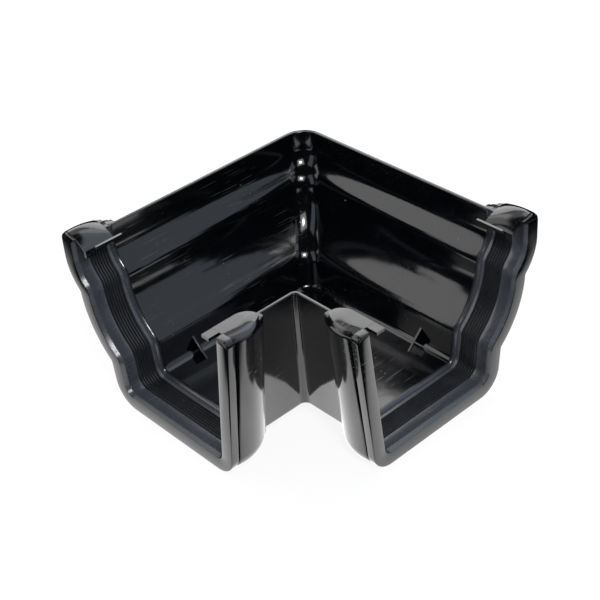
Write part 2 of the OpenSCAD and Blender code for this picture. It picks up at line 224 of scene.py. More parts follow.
class Wire:
    """A value socket that takes Python's arithmetic and adds the Math nodes for it."""

    def __init__(self, tree, socket):
        self.tree = tree
        self.socket = socket

    def math(self, operation, *values):
        node = self.tree.nodes.new("ShaderNodeMath")
        node.operation = operation
        for slot, value in zip(node.inputs, values):
            feed(self.tree, slot, value)
        return Wire(self.tree, node.outputs[0])

    def __add__(self, other):
        return self.math("ADD", self, other)

    def __radd__(self, other):
        return self.math("ADD", other, self)

    def __sub__(self, other):
        return self.math("SUBTRACT", self, other)

    def __rsub__(self, other):
        return self.math("SUBTRACT", other, self)

    def __mul__(self, other):
        return self.math("MULTIPLY", self, other)

    def __rmul__(self, other):
        return self.math("MULTIPLY", other, self)

    def __truediv__(self, other):
        return self.math("DIVIDE", self, other)

    def __pow__(self, other):
        return self.math("POWER", self, other)


def feed(tree, slot, value):
    """Links a wire to a socket, or sets a plain value on it."""
    if isinstance(value, Wire):
        tree.links.new(value.socket, slot)
    else:
        slot.default_value = value


class Graph:
    """A node tree and the one method that adds nodes to it."""

    def __init__(self, tree):
        self.tree = tree

    def add(self, kind, settings=None, inputs=None):
        """Adds a node: its settings first, then its sockets' values or links."""
        node = self.tree.nodes.new(kind)
        for name, value in (settings or {}).items():
            if name == "stops":
                ramp = node.color_ramp
                while len(ramp.elements) < len(value):
                    ramp.elements.new(0.5)
                for stop, (place, tone) in zip(ramp.elements, value):
                    stop.position = place
                    stop.color = (tone, tone, tone, 1)
            else:
                setattr(node, name, value)
        for name, value in (inputs or {}).items():
            feed(self.tree, node.inputs[name], value)
        return node

    def wire(self, kind, output, settings=None, inputs=None):
        """Adds a node and returns one of its outputs."""
        return Wire(self.tree, self.add(kind, settings, inputs).outputs[output])


def outward(turn):
    """The direction out of the section where its path climbs at this angle."""
    return Vector((math.sin(turn), -math.cos(turn)))


def add_curve(rows, radius, end, steps):
    """Continues the path with an arc. A hollow curve has a radius below zero."""
    start = rows[-1][2]
    at = rows[-1][0]
    for k in range(1, steps + 1):
        turn = start + (end - start) * k / steps
        rows.append((at + radius * (outward(turn) - outward(start)), outward(turn), turn))


def add_line(rows, length):
    """Continues the path with a straight piece."""
    at, out, turn = rows[-1]
    rows.append((at + length * Vector((math.cos(turn), math.sin(turn))), out, turn))


def section_path(trough):
    """The trough's outside from the back edge to the front edge, as (place, outward, turn)."""
    lean = trough.back_lean
    down = lean - math.pi / 2
    heel = trough.heel_radius
    drop = trough.back_height + heel * (outward(0.0) - outward(down)).y
    back = [(Vector((0, trough.back_height)), outward(down), down)]
    add_line(back, drop / math.cos(lean))
    add_curve(back, heel, 0.0, 8)
    front = [(Vector((0, 0)), outward(0.0), 0.0)]
    add_curve(front, trough.toe_radius, trough.riser_angle, 12)
    add_line(front, trough.riser_length)
    add_curve(front, -trough.cove_radius, trough.belly_start, 10)
    add_curve(front, trough.belly_radius, trough.belly_end, 22)
    add_curve(front, -trough.cove_radius, trough.crown_start, 10)
    add_curve(front, trough.crown_radius, math.pi / 2, 12)
    add_line(front, trough.front_height - front[-1][0].y)
    shift = Vector((trough.gutter_width - front[-1][0].x, 0))
    return back + [(at + shift, out, turn) for at, out, turn in front]


def edged_path(trough, socket, clips):
    """The path's rows as (place, outward, inset, drawn in), with both top edges rounded."""
    rows = section_path(trough)
    lean = trough.back_lean
    down = Vector((math.sin(lean), -math.cos(lean)))
    level = Vector((-1 / math.cos(lean), 0))
    roll_drop = socket.roll_height - clips.plate_rise - 0.0003
    steps = [math.radians(a) for a in (90, 65, 40, 20, 0)]
    out = []
    for a in steps:
        fall = trough.edge_round * (1 - math.sin(a))
        inset = trough.edge_round * (1 - math.cos(a))
        out.append((rows[0][0] + fall * down, level, inset, 1 - fall / roll_drop))
    for k in (0.5, 1.0):
        out.append((rows[0][0] + k * roll_drop * down, level, 0.0, 1 - k))
    out += [(at, way, 0.0, 0.0) for at, way, turn in rows[1:-1]]
    for a in reversed(steps):
        fall = trough.edge_round * (1 - math.sin(a))
        inset = trough.edge_round * (1 - math.cos(a))
        out.append((rows[-1][0] - Vector((0, fall)), rows[-1][1], inset, 0.0))
    return out


def arc(centre, radius, start, end, steps):
    """Points of an arc in any plane, with its angles in degrees."""
    points = []
    for k in range(steps + 1):
        a = math.radians(start + (end - start) * k / steps)
        points.append((centre[0] + radius * math.cos(a), centre[1] + radius * math.sin(a)))
    return points


def barrel_at(socket, s):
    """How far the barrel stands proud at a distance from the mouth."""
    reach = (s - socket.barrel_peak) / socket.barrel_curve
    return socket.barrel_stand - socket.barrel_curve * (1 - math.cos(math.asin(reach)))


def outer_line(socket):
    """The socket's outside along the gutter, as (distance from the mouth, stand)."""
    r = socket.rim_round
    low = socket.rim_stand - socket.groove_depth
    start = socket.rim_width + socket.groove_width
    line = arc((r, socket.rim_stand - r), r, 180, 90, 6)
    line += arc((socket.rim_width - r, socket.rim_stand - r), r, 90, 0, 6)
    line += [(socket.rim_width, low + 0.0002), (socket.rim_width + 0.0002, low)]
    line += [(start - 0.0002, low), (start, low + 0.0002)]
    soft = 0.0005
    line.append((start, barrel_at(socket, start) - soft))
    line.append((start + soft * 0.3, barrel_at(socket, start) - soft * 0.3))
    first = start + soft
    for k in range(29):
        s = first + (socket.barrel_end - first) * k / 28
        line.append((s, barrel_at(socket, s)))
    top = line[-1][1] - socket.lip_step
    end = socket.barrel_end + socket.lip_width
    line += [(socket.barrel_end, top + 0.0002), (socket.barrel_end + 0.0002, top)]
    line += arc((end - 0.0005, top - 0.0005), 0.0005, 90, 0, 4)
    line += arc((end + 0.0006, 0.0006), 0.0006, 180, 270, 4)
    return line


def inner_line(trough, socket, seal):
    """The socket's inside along the gutter, from the mouth inwards."""
    start = seal.groove_start
    end = start + seal.groove_width
    land = -socket.land_stand
    gap = socket.mouth_gap
    line = [(0.0, gap + 0.0005), (0.00015, gap + 0.00015), (0.0005, gap)]
    line += [(socket.lead_in - 0.0003, land + 0.0001), (socket.lead_in, land)]
    reach = start - 0.0002 - socket.lead_in
    line += [(socket.lead_in + reach * k / 7, land) for k in range(1, 8)]
    line.append((start, land + 0.0002))
    line += [(start, seal.groove_depth), (end, seal.groove_depth)]
    line += [(end, land + 0.0002), (end + 0.0002, land)]
    first = end + trough.wall
    rise = trough.wall - socket.land_stand
    for k in range(9):
        a = math.radians(90 * k / 8)
        line.append((first + socket.step_length * (1 - math.cos(a)), land - rise * math.sin(a)))
    return line


def swap(point):
    """The same place on the other arm."""
    return (point[1], point[0], point[2])


def make_object(name, points, faces):
    """A mesh object at the origin."""
    mesh = bpy.data.meshes.new(name)
    mesh.from_pydata([tuple(p) for p in points], [], faces)
    mesh.validate()
    mesh.update()
    piece = bpy.data.objects.new(name, mesh)
    bpy.context.scene.collection.objects.link(piece)
    return piece


def loft_faces(count, loops, start=0):
    """Faces of a closed solid through loops of points, whose ends are flat."""
    faces = [tuple(start + k for k in range(count))]
    last = start + (loops - 1) * count
    faces.append(tuple(last + k for k in reversed(range(count))))
    for j in range(loops - 1):
        a = start + j * count
        b = a + count
        for k in range(count):
            n = (k + 1) % count
            faces.append((a + k, b + k, b + n, a + n))
    return faces


def signed_volume(points, faces):
    """Above zero where the faces point outwards."""
    total = 0.0
    for face in faces:
        a = Vector(points[face[0]])
        for k in range(1, len(face) - 1):
            total += a.dot(Vector(points[face[k]]).cross(Vector(points[face[k + 1]])))
    return total / 6


class Solids:
    """Gathers lofted solids on both arms into one mesh."""

    def __init__(self):
        self.points = []
        self.faces = []

    def loft(self, loops):
        """Adds one solid on the left arm and its mirror image on the right arm."""
        count = len(loops[0])
        points = [p for loop in loops for p in loop]
        faces = loft_faces(count, len(loops))
        if signed_volume(points, faces) < 0:
            faces = [tuple(reversed(face)) for face in faces]
        base = len(self.points)
        self.points += points
        self.faces += [tuple(base + k for k in face) for face in faces]
        base = len(self.points)
        self.points += [swap(p) for p in points]
        self.faces += [tuple(base + k for k in reversed(face)) for face in faces]

    def piece(self, name):
        return make_object(name, self.points, self.faces)


def along(trough, s, section):
    """A loop of (y, z) points set at a distance from the left mouth."""
    return [(s - trough.arm_length, y, z) for y, z in section]


def finish_piece(piece, material, nodes, bevel=0.0):
    """Rounds, shades and paints a piece, and ties it to the frame."""
    if bevel:
        modifier = piece.modifiers.new("Soft edges", "BEVEL")
        modifier.width = bevel
        modifier.segments = 2
        modifier.limit_method = "ANGLE"
        modifier.angle_limit = math.radians(32)
    mesh = piece.data
    mesh.shade_smooth()
    mesh.set_sharp_from_angle(angle=math.radians(34))
    mesh.materials.clear()
    mesh.materials.append(material)
    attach(piece, BODY)
    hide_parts(*nodes)


def surface_place(graph):
    """Object coordinates for the patterns."""
    return graph.wire("ShaderNodeTexCoord", "Object")


def streaks(graph, place, turn, along, across):
    """Short straight hairlines that run at one angle, from a noise drawn out lengthways."""
    laid = graph.wire(
        "ShaderNodeMapping",
        "Vector",
        inputs={"Vector": place, "Rotation": turn, "Scale": (along, across, across)},
    )
    return patches(graph, laid, 1.0, 0.72, 0.79, 0.0)


def ramped(graph, value, low, high):
    """A smooth step from 0 at one value to 1 at the other, in either order."""
    ends = {"From Min": min(low, high), "From Max": max(low, high)}
    turned = {"To Min": 1.0, "To Max": 0.0} if low > high else {}
    step = {"interpolation_type": "SMOOTHSTEP"}
    return graph.wire("ShaderNodeMapRange", "Result", step, {"Value": value, **ends, **turned})


def patches(graph, place, scale, low, high, detail=3.0):
    """Soft patches between 0 and 1."""
    noise = graph.wire(
        "ShaderNodeTexNoise", "Fac", inputs={"Vector": place, "Scale": scale, "Detail": detail}
    )
    return ramped(graph, noise, low, high)


def specks(graph, place, scale, radius, kept):
    """Sparse round specks, where only some cells keep theirs."""
    cell = graph.add(
        "ShaderNodeTexVoronoi", None, {"Vector": place, "Scale": scale, "Randomness": 1.0}
    )
    near = ramped(graph, Wire(graph.tree, cell.outputs["Distance"]), radius, radius * 0.5)
    tone = graph.add("ShaderNodeSeparateColor", None, {"Color": Wire(graph.tree, cell.outputs["Color"])})
    pick = Wire(graph.tree, tone.outputs["Red"]).math(
        "LESS_THAN", Wire(graph.tree, tone.outputs["Red"]), kept
    )
    return near * pick


def blended(graph, factor, first, second):
    """Mixes two colours."""
    node = graph.tree.nodes.new("ShaderNodeMix")
    node.data_type = "RGBA"
    feed(graph.tree, node.inputs[0], factor)
    feed(graph.tree, node.inputs[6], first)
    feed(graph.tree, node.inputs[7], second)
    return Wire(graph.tree, node.outputs[2])


def new_material(name):
    """An empty material with its output and shader."""
    material = bpy.data.materials.new(name)
    material.use_nodes = True
    material.node_tree.nodes.clear()
    graph = Graph(material.node_tree)
    shader = graph.add("ShaderNodeBsdfPrincipled")
    graph.add("ShaderNodeOutputMaterial", None, {"Surface": Wire(graph.tree, shader.outputs[0])})
    return material, graph, shader


def glossy_plastic(finish):
    """Black moulded plastic: gloss with faint ripples, dust specks and hairline scratches."""
    known = bpy.data.materials.get("Moulded plastic")
    if known:
        return known
    material, graph, shader = new_material("Moulded plastic")
    place = surface_place(graph)
    worn = patches(graph, place, 28.0, 0.42, 0.68)
    haze = patches(graph, place, 60.0, 0.35, 0.75, 6.0)
    fine = specks(graph, place, 320.0, 0.13, 0.16)
    motes = specks(graph, place, 120.0, 0.07, 0.10)
    lines = streaks(graph, place, (0.3, 0.7, 0.5), 45.0, 1500.0)
    crossed = streaks(graph, place, (1.1, 0.2, 2.1), 60.0, 1900.0)
    hair = (lines + crossed) * worn
    film = graph.wire("ShaderNodeAttribute", "Fac", {"attribute_name": "film"})
    flare = graph.wire("ShaderNodeAttribute", "Fac", {"attribute_name": "flare"})
    dusty = (fine * worn * 0.8 + motes).math("MINIMUM", fine * worn * 0.8 + motes, 1.0)
    tone = dusty * finish.dust_amount + hair * (0.22 * finish.scratch_amount)
    # Painted light: the sockets' base colour is mixed towards a lighter colour by this mask, which also
    # makes them rougher.
    plastic = blended(graph, film, (*finish.plastic, 1), (*finish.film, 1))
    dust = (*finish.dust, 1)
    feed(graph.tree, shader.inputs["Base Color"], blended(graph, tone, plastic, dust))
    rough = finish.gloss + haze * 0.05 + hair * 0.16 + dusty * 0.35 + film * 0.16
    feed(graph.tree, shader.inputs["Roughness"], rough)
    shader.inputs["IOR"].default_value = 1.5
    ripple = patches(graph, place, 90.0, 0.2, 0.8, 1.0) * 0.00005
    swell = patches(graph, place, 26.0, 0.1, 0.9, 1.0) * 0.00011
    height = ripple + swell + flare + dusty * 0.00004 - hair * 0.00002
    bump = graph.wire(
        "ShaderNodeBump", "Normal", inputs={"Strength": 0.6, "Distance": 1.0, "Height": height}
    )
    feed(graph.tree, shader.inputs["Normal"], bump)
    return material


def seal_rubber(finish):
    """Dark satin rubber with a fine grain and a little dust in it."""
    known = bpy.data.materials.get("Seal rubber")
    if known:
        return known
    material, graph, shader = new_material("Seal rubber")
    place = surface_place(graph)
    grain = patches(graph, place, 900.0, 0.2, 0.8, 2.0)
    worn = patches(graph, place, 70.0, 0.4, 0.7)
    fine = specks(graph, place, 420.0, 0.14, 0.14)
    rubber = (*finish.rubber, 1)
    dust = (*finish.dust, 1)
    tone = fine * 0.5 + worn * 0.03
    feed(graph.tree, shader.inputs["Base Color"], blended(graph, tone, rubber, dust))
    feed(graph.tree, shader.inputs["Roughness"], 0.34 + grain * 0.1 + fine * 0.2)
    shader.inputs["IOR"].default_value = 1.5
    bump = graph.wire(
        "ShaderNodeBump",
        "Normal",
        inputs={"Strength": 0.5, "Distance": 1.0, "Height": grain * 0.00004},
    )
    feed(graph.tree, shader.inputs["Normal"], bump)
    return material


def new_geometry_tree(name, values):
    """A geometry tree with a mesh input, named float inputs and a material input."""
    tree = bpy.data.node_groups.new(name, "GeometryNodeTree")
    tree.interface.new_socket("Geometry", in_out="INPUT", socket_type="NodeSocketGeometry")
    for label in values:
        tree.interface.new_socket(label, in_out="INPUT", socket_type="NodeSocketFloat")
    tree.interface.new_socket("Material", in_out="INPUT", socket_type="NodeSocketMaterial")
    tree.interface.new_socket("Geometry", in_out="OUTPUT", socket_type="NodeSocketGeometry")
    graph = Graph(tree)
    given = tree.nodes.new("NodeGroupInput")
    return graph, {socket.name: Wire(tree, socket) for socket in given.outputs if socket.name}


def close_tree(graph, shape, material):
    """Ends a tree in Realize Instances and Set Material."""
    whole = graph.wire("GeometryNodeRealizeInstances", "Geometry", None, {"Geometry": shape})
    painted = graph.wire(
        "GeometryNodeSetMaterial", "Geometry", None, {"Geometry": whole, "Material": material}
    )
    graph.add("NodeGroupOutput", None, {"Geometry": painted})


def run_tree(piece, tree, values):
    """Runs a tree on a piece and keeps the result as its plain mesh."""
    modifier = piece.modifiers.new(tree.name, "NODES")
    modifier.node_group = tree
    for item in tree.interface.items_tree:
        if item.in_out == "INPUT" and item.name in values:
            modifier[item.identifier] = values[item.name]
    depsgraph = bpy.context.evaluated_depsgraph_get()
    mesh = bpy.data.meshes.new_from_object(piece.evaluated_get(depsgraph))
    piece.modifiers.clear()
    old = piece.data
    mesh.name = old.name
    piece.data = mesh
    bpy.data.meshes.remove(old)
    return piece


def bend_tree():
    """Carries a straight run of gutter round the corner, with a bend that opens outwards."""
    sizes = ("Gutter Width", "Inside Bend", "Outside Bend")
    graph, given = new_geometry_tree("Round the corner", sizes)
    place = graph.add("GeometryNodeInputPosition")
    parts = graph.add("ShaderNodeSeparateXYZ", None, {"Vector": Wire(graph.tree, place.outputs[0])})
    x = Wire(graph.tree, parts.outputs["X"])
    y = Wire(graph.tree, parts.outputs["Y"])
    z = Wire(graph.tree, parts.outputs["Z"])
    turn = graph.wire(
        "GeometryNodeInputNamedAttribute", "Attribute", {"data_type": "FLOAT"}, {"Name": "turn"}
    )
    opening = given["Outside Bend"] - given["Inside Bend"]
    radius = given["Inside Bend"] + opening * y / given["Gutter Width"]
    centre = y - radius
    straight = (turn - 0.5).math("ABSOLUTE", turn - 0.5)
    on_arm = straight.math("GREATER_THAN", straight, 0.4999)
    back = (x - centre) * on_arm
    swing = turn * (math.pi / 2)
    sine = swing.math("SINE", swing)
    cosine = swing.math("COSINE", swing)
    bent = graph.wire(
        "ShaderNodeCombineXYZ",
        "Vector",
        None,
        {
            "X": centre + radius * sine + back * cosine,
            "Y": centre + radius * cosine + back * sine,
            "Z": z,
        },
    )
    moved = graph.wire(
        "GeometryNodeSetPosition",
        "Geometry",
        None,
        {"Geometry": given["Geometry"], "Position": bent},
    )
    close_tree(graph, moved, given["Material"])
    return graph.tree


def seal_tree():
    """Runs a flat strip and a row of lips along the section's path."""
    sizes = ("Seat", "Thickness", "Lip Height", "Lip Pitch", "Lip Count", "Clearance")
    graph, given = new_geometry_tree("Seal with lips", sizes)
    way = graph.wire(
        "GeometryNodeInputNamedAttribute",
        "Attribute",
        {"data_type": "FLOAT_VECTOR"},
        {"Name": "outward"},
    )

    def path_at(distance):
        shift = graph.wire(
            "ShaderNodeVectorMath", "Vector", {"operation": "SCALE"}, {"Vector": way, "Scale": distance}
        )
        moved = graph.wire(
            "GeometryNodeSetPosition",
            "Geometry",
            None,
            {"Geometry": given["Geometry"], "Offset": shift},
        )
        return graph.wire("GeometryNodeMeshToCurve", "Curve", None, {"Mesh": moved})

    def run(curve, profile):
        return graph.wire(
            "GeometryNodeCurveToMesh",
            "Mesh",
            None,
            {"Curve": curve, "Profile Curve": profile, "Fill Caps": True},
        )

    seat = given["Seat"]
    half = given["Thickness"] * 0.5
    width = given["Lip Pitch"] * given["Lip Count"]
    strip = graph.wire(
        "GeometryNodeCurvePrimitiveQuadrilateral",
        "Curve",
        {"mode": "RECTANGLE"},
        {"Width": width, "Height": given["Thickness"]},
    )
    kite = graph.wire(
        "GeometryNodeCurvePrimitiveQuadrilateral",
        "Curve",
        {"mode": "KITE"},
        {
            "Width": given["Lip Pitch"] * 0.5,
            "Bottom Height": given["Lip Height"] * 0.9,
            "Top Height": given["Lip Height"] * 0.9,
        },
    )
    lip = run(path_at(seat - given["Thickness"]), kite)
    first = 0.5 * given["Lip Pitch"] * (1.0 - given["Lip Count"])
    start = graph.wire("ShaderNodeCombineXYZ", "Vector", None, {"X": first})
    step = graph.wire("ShaderNodeCombineXYZ", "Vector", None, {"X": given["Lip Pitch"]})
    marks = graph.wire(
        "GeometryNodeMeshLine",
        "Mesh",
        {"mode": "OFFSET"},
        {"Count": given["Lip Count"], "Start Location": start, "Offset": step},
    )
    lips = graph.wire(
        "GeometryNodeInstanceOnPoints", "Instances", None, {"Points": marks, "Instance": lip}
    )
    joined = graph.add("GeometryNodeJoinGeometry")
    for part in (run(path_at(seat - half), strip), lips):
        graph.tree.links.new(part.socket, joined.inputs[0])
    close_tree(graph, Wire(graph.tree, joined.outputs[0]), given["Material"])
    return graph.tree


def shown(context):
    """The four groups of sizes."""
    scene = context.scene
    return scene.trough_sizes, scene.socket_sizes, scene.seal_sizes, scene.clip_sizes


class GUTTERANGLE_OT_moulding(bpy.types.Operator):
    """Builds the trough and its two sockets as one shell and carries it round the corner"""

    bl_idname = "gutter_angle.moulding"
    bl_label = "Trough and sockets"

    def execute(self, context):
        trough, socket, seal, clips = shown(context)
        outer = outer_line(socket)
        inner = inner_line(trough, socket, seal)
        end = trough.arm_length - trough.bend_inside - trough.bend_outside / 4
        outer.append((end, 0.0))
        inner.append((end, -trough.wall))
        bend_steps = 24
        points = []
        marks = {"turn": [], "film": [], "flare": []}
        rows = edged_path(trough, socket, clips)
        for at, way, inset, drawn in rows:
            for line, side in ((outer, -1), (inner, 1)):
                loop = []
                for s, stand in line:
                    limit = seal.groove_depth + (stand - seal.groove_depth) * (1 - 0.8 * drawn)
                    edge = inset if stand < seal.groove_depth or side < 0 else 0.0
                    proud = min(stand, limit) + side * edge
                    q = at + proud * way
                    socket_marks = self.painted_light_and_flare(s, socket, seal) if side == 1 else (0.0, 0.0)
                    loop.append(((s - trough.arm_length, q.x, q.y), *socket_marks))
                flat = at + (line[-1][1] + side * inset) * way
                ends = (self.bend_start(trough, flat.x), flat.x, flat.y)
                bend = [((0.0, flat.x, flat.y), k / bend_steps, 0.0, 0.0) for k in range(1, bend_steps)]
                whole = [(p, 0.0, film, flare) for p, film, flare in loop]
                whole += [(ends, 0.0, 0.0, 0.0), *bend, (ends, 1.0, 0.0, 0.0)]
                whole += [(p, 1.0, film, flare) for p, film, flare in reversed(loop)]
                if side == 1:
                    whole.reverse()
                for place, turn, film, flare in whole:
                    points.append(place)
                    marks["turn"].append(turn)
                    marks["film"].append(film)
                    marks["flare"].append(flare)
        count = len(points) // len(rows)
        faces = loft_faces(count, len(rows))
        faces = [tuple(reversed(face)) for face in faces]
        piece = make_object("trough_and_sockets", points, faces)
        for name, values in marks.items():
            mark = piece.data.attributes.new(name, "FLOAT", "POINT")
            mark.data.foreach_set("value", values)
        plastic = glossy_plastic(context.scene.finish_settings)
        values = {
            "Gutter Width": trough.gutter_width,
            "Inside Bend": trough.bend_inside,
            "Outside Bend": trough.bend_outside,
            "Material": plastic,
        }
        run_tree(piece, bend_tree(), values)
        finish_piece(piece, plastic, ["angle_body"])
        return {"FINISHED"}

    def painted_light_and_flare(self, s, socket, seal):
        """How much the socket here is painted lighter, as painted light, and made rougher, and how far
        the land flares there.
        """
        step = seal.groove_start + seal.groove_width + 0.002
        # Painted light: the socket is marked for lighter paint up to just past the seal's groove.
        film = 1.0 - min(1.0, max(0.0, (s - step) / socket.step_length))
        reach = seal.groove_start - socket.lead_in
        part = max(0.0, (s - socket.lead_in) / reach)
        if s < 0.0003:
            film = 0.0
        if part >= 1.0:
            part = 0.0
        return film, LAND_FLARE * reach * (part - part ** 3 / 3)

    def bend_start(self, trough, y):
        """Where the bend starts on the arm, at this distance from the building."""
        opening = trough.bend_outside - trough.bend_inside
        return y - trough.bend_inside - opening * y / trough.gutter_width


class GUTTERANGLE_OT_front_clips(bpy.types.Operator):
    """Builds the domed hoods over the front edge, with their tabs, lugs and the rim's top"""

    bl_idname = "gutter_angle.front_clips"
    bl_label = "Front clips"

    def execute(self, context):
        trough, socket, seal, clips = shown(context)
        solids = Solids()
        width = trough.gutter_width
        height = trough.front_height
        top = height + clips.hood_rise
        side = width + socket.rim_stand + 0.00012
        shoulder = Vector((side - clips.shoulder_radius, top - clips.shoulder_radius))
        ahead = math.radians(100)
        slope = shoulder + (clips.shoulder_radius - clips.slope_radius) * Vector(
            (math.cos(ahead), math.sin(ahead))
        )
        edge = arc(slope, clips.slope_radius, 136, 136, 1)[0]

        def line(inset):
            points = [(side - inset, height - 0.001)]
            points += arc(shoulder, clips.shoulder_radius - inset, 0, 100, 10)
            points += arc(slope, clips.slope_radius - inset, 100, 136, 10)[1:]
            return points

        def domed(points, s):
            lift = 1 - (s - clips.hood_peak) ** 2 / (2 * clips.hood_dome * (top - edge[1]))
            return [(y, edge[1] + (z - edge[1]) * lift) for y, z in points]

        section = line(0.0) + list(reversed(line(clips.hood_thickness)))
        loops = []
        for k in range(15):
            s = clips.hood_start + (clips.hood_end - clips.hood_start) * k / 14
            loops.append(along(trough, s, domed(section, s)))
        solids.loft(loops)
        low = edge[1] - clips.hood_thickness
        inner = edge[0] + 0.0003
        bar = [
            (inner - clips.tab_width, low + clips.bar_rise),
            (inner - clips.tab_width, edge[1] + clips.bar_rise),
            (inner, edge[1] + clips.bar_rise),
            (inner, low + clips.bar_rise),
        ]
        reach = clips.hood_end + clips.tab_length
        solids.loft([along(trough, s, bar) for s in (clips.bar_start, reach)])
        lug = [
            (edge[0] - 0.00012, low - clips.lug_drop),
            (edge[0] - 0.00012, edge[1] - 0.0002),
            (edge[0] + clips.hood_thickness, edge[1] - 0.0002),
            (edge[0] + clips.hood_thickness, low - clips.lug_drop),
        ]
        ends = (clips.hood_start + 0.00006, clips.hood_start + clips.lug_length)
        solids.loft([along(trough, s, lug) for s in ends])
        self.rim_top(solids, trough, socket, clips, top - clips.hood_thickness / 2)
        self.barrel_top(solids, trough, socket, clips)
        piece = solids.piece("front_clips")
        plastic = glossy_plastic(context.scene.finish_settings)
        finish_piece(piece, plastic, ["angle_body"], bevel=0.00025)
        return {"FINISHED"}

    def rim_top(self, solids, trough, socket, clips, top):
        """The rim closes over the top of the front wall."""
        height = trough.front_height
        loops = []
        r = socket.rim_round
        for s, stand in outer_line(socket)[:14]:
            inset = socket.rim_stand - stand
            out = trough.gutter_width + socket.rim_stand - 0.00004 - inset
            radius = clips.rim_top_radius
            centre = (out - radius, top - radius - inset)
            near = trough.gutter_width + socket.mouth_gap + min(inset, r) * 0.3 + 0.00006
            loop = [(near, height - 0.001), (out, height - 0.001)]
            loop += arc(centre, radius, 0, 100, 10)
            loop += [(trough.gutter_width - 0.0032, top - 0.001 - inset * 0.5), (near, height + 0.0001)]
            loops.append(along(trough, s, loop))
        solids.loft(loops)

    def barrel_top(self, solids, trough, socket, clips):
        """The barrel closes over the front wall under the hood."""
        height = trough.front_height
        rise = clips.cap_rise
        loops = []
        start = socket.rim_width - 0.001
        for k in range(15):
            s = start + (clips.cap_end - start) * k / 14
            stand = min(barrel_at(socket, max(s, socket.rim_width)), socket.barrel_stand)
            if s < socket.rim_width + socket.groove_width:
                stand = socket.rim_stand - 0.0012
            out = trough.gutter_width + stand - 0.00004
            mid = trough.gutter_width + stand * 0.4
            loop = [(trough.gutter_width - 0.00014, height - 0.002), (out, height - 0.002)]
            loop += [(out, height), (out - 0.0002, height + rise * 0.5)]
            loop += [(out - 0.0007, height + rise * 0.88), (out - 0.0015, height + rise)]
            loop += [(mid, height + rise * 0.8), (trough.gutter_width + 0.001, height + rise * 0.5)]
            loop += [(trough.gutter_width - 0.002, height + rise * 0.3)]
            loop += [(trough.gutter_width - 0.002, height + 0.00006)]
            loop += [(trough.gutter_width - 0.00014, height + 0.00006)]
            loops.append(along(trough, s, loop))
        solids.loft(loops)


class GUTTERANGLE_OT_back_clips(bpy.types.Operator):
    """Builds the plates over the back wall, which roll down into the barrels, and their tabs"""

    bl_idname = "gutter_angle.back_clips"
    bl_label = "Back clips"

    def execute(self, context):
        trough, socket, seal, clips = shown(context)
        solids = Solids()
        lean = math.degrees(trough.back_lean)
        top = trough.back_height + clips.plate_rise
        lip_end = socket.barrel_end + socket.lip_width
        lip = barrel_at(socket, socket.barrel_end) - socket.lip_step

        def part_at(s):
            return min(1.0, max(0.0, (s - clips.plate_turn) / (lip_end - clips.plate_turn)))

        def rolled(s):
            """The plate's section, cut off where its free edge has drawn back over the roll."""
            part = part_at(s)
            side = 0.00002 - max(barrel_at(socket, max(s, socket.rim_width)), lip)
            fall = clips.plate_fall * part * part
            high = socket.roll_height - fall
            reach = clips.plate_reach - (clips.plate_reach + lip) * (1 - math.sqrt(1 - part * part))
            reach = max(reach, side + 0.0001)
            crown = min(reach, side + socket.roll_width)
            outer = []
            for k in range(17):
                across = (crown - side) * (1 - math.cos(math.radians(90 * k / 16)))
                bow = math.sqrt(max(0.0, 1 - (1 - across / socket.roll_width) ** 2))
                outer.append((side + across, top - socket.roll_height + high * bow))
            outer.append((reach + 0.00001, outer[-1][1]))
            hidden = []
            for y, z in outer:
                floor = top - socket.roll_height + 0.0001
                hidden.append((max(y, side + 0.0003), max(floor, z - clips.plate_thickness)))
            return outer + list(reversed(hidden))

        marks = [clips.plate_start + (clips.plate_turn - clips.plate_start) * k / 6 for k in range(7)]
        for k in range(1, 13):
            a = math.radians(88 * k / 12)
            marks.append(clips.plate_turn + (lip_end - clips.plate_turn) * math.sin(a))
        loops = []
        for s in marks:
            loops.append(along(trough, s, rolled(s)))
        solids.loft(loops)
        tab = [
            (clips.plate_reach - clips.back_tab_width, top - clips.plate_thickness + 0.00006),
            (clips.plate_reach - clips.back_tab_width, top - 0.00006),
            (clips.plate_reach - 0.00006, top - 0.00006),
            (clips.plate_reach - 0.00006, top - clips.plate_thickness + 0.00006),
        ]
        ends = (-clips.back_tab_reach, clips.plate_start + 0.001)
        solids.loft([along(trough, s, tab) for s in ends])
        self.rim_back(solids, trough, socket, top - 0.00006)
        piece = solids.piece("back_clips")
        plastic = glossy_plastic(context.scene.finish_settings)
        finish_piece(piece, plastic, ["angle_body"], bevel=0.00025)
        return {"FINISHED"}

    def rim_back(self, solids, trough, socket, top):
        """The rim rolls over the back wall's top edge."""
        loops = []
        for s, stand in outer_line(socket)[:14]:
            inset = socket.rim_stand - stand
            across = socket.rim_roll - inset
            high = socket.roll_height - inset
            middle = socket.rim_roll - socket.rim_stand + 0.00006
            loop = []
            for k in range(13):
                a = math.radians(180 - 90 * k / 12)
                place = (middle + across * math.cos(a), top - socket.roll_height + high * math.sin(a))
                loop.append(place)
            near = -socket.mouth_gap - 0.0001 - min(inset, 0.0004)
            loop += [(near, loop[-1][1]), (near, trough.back_height - 0.001)]
            loops.append(along(trough, s, loop))
        solids.loft(loops)


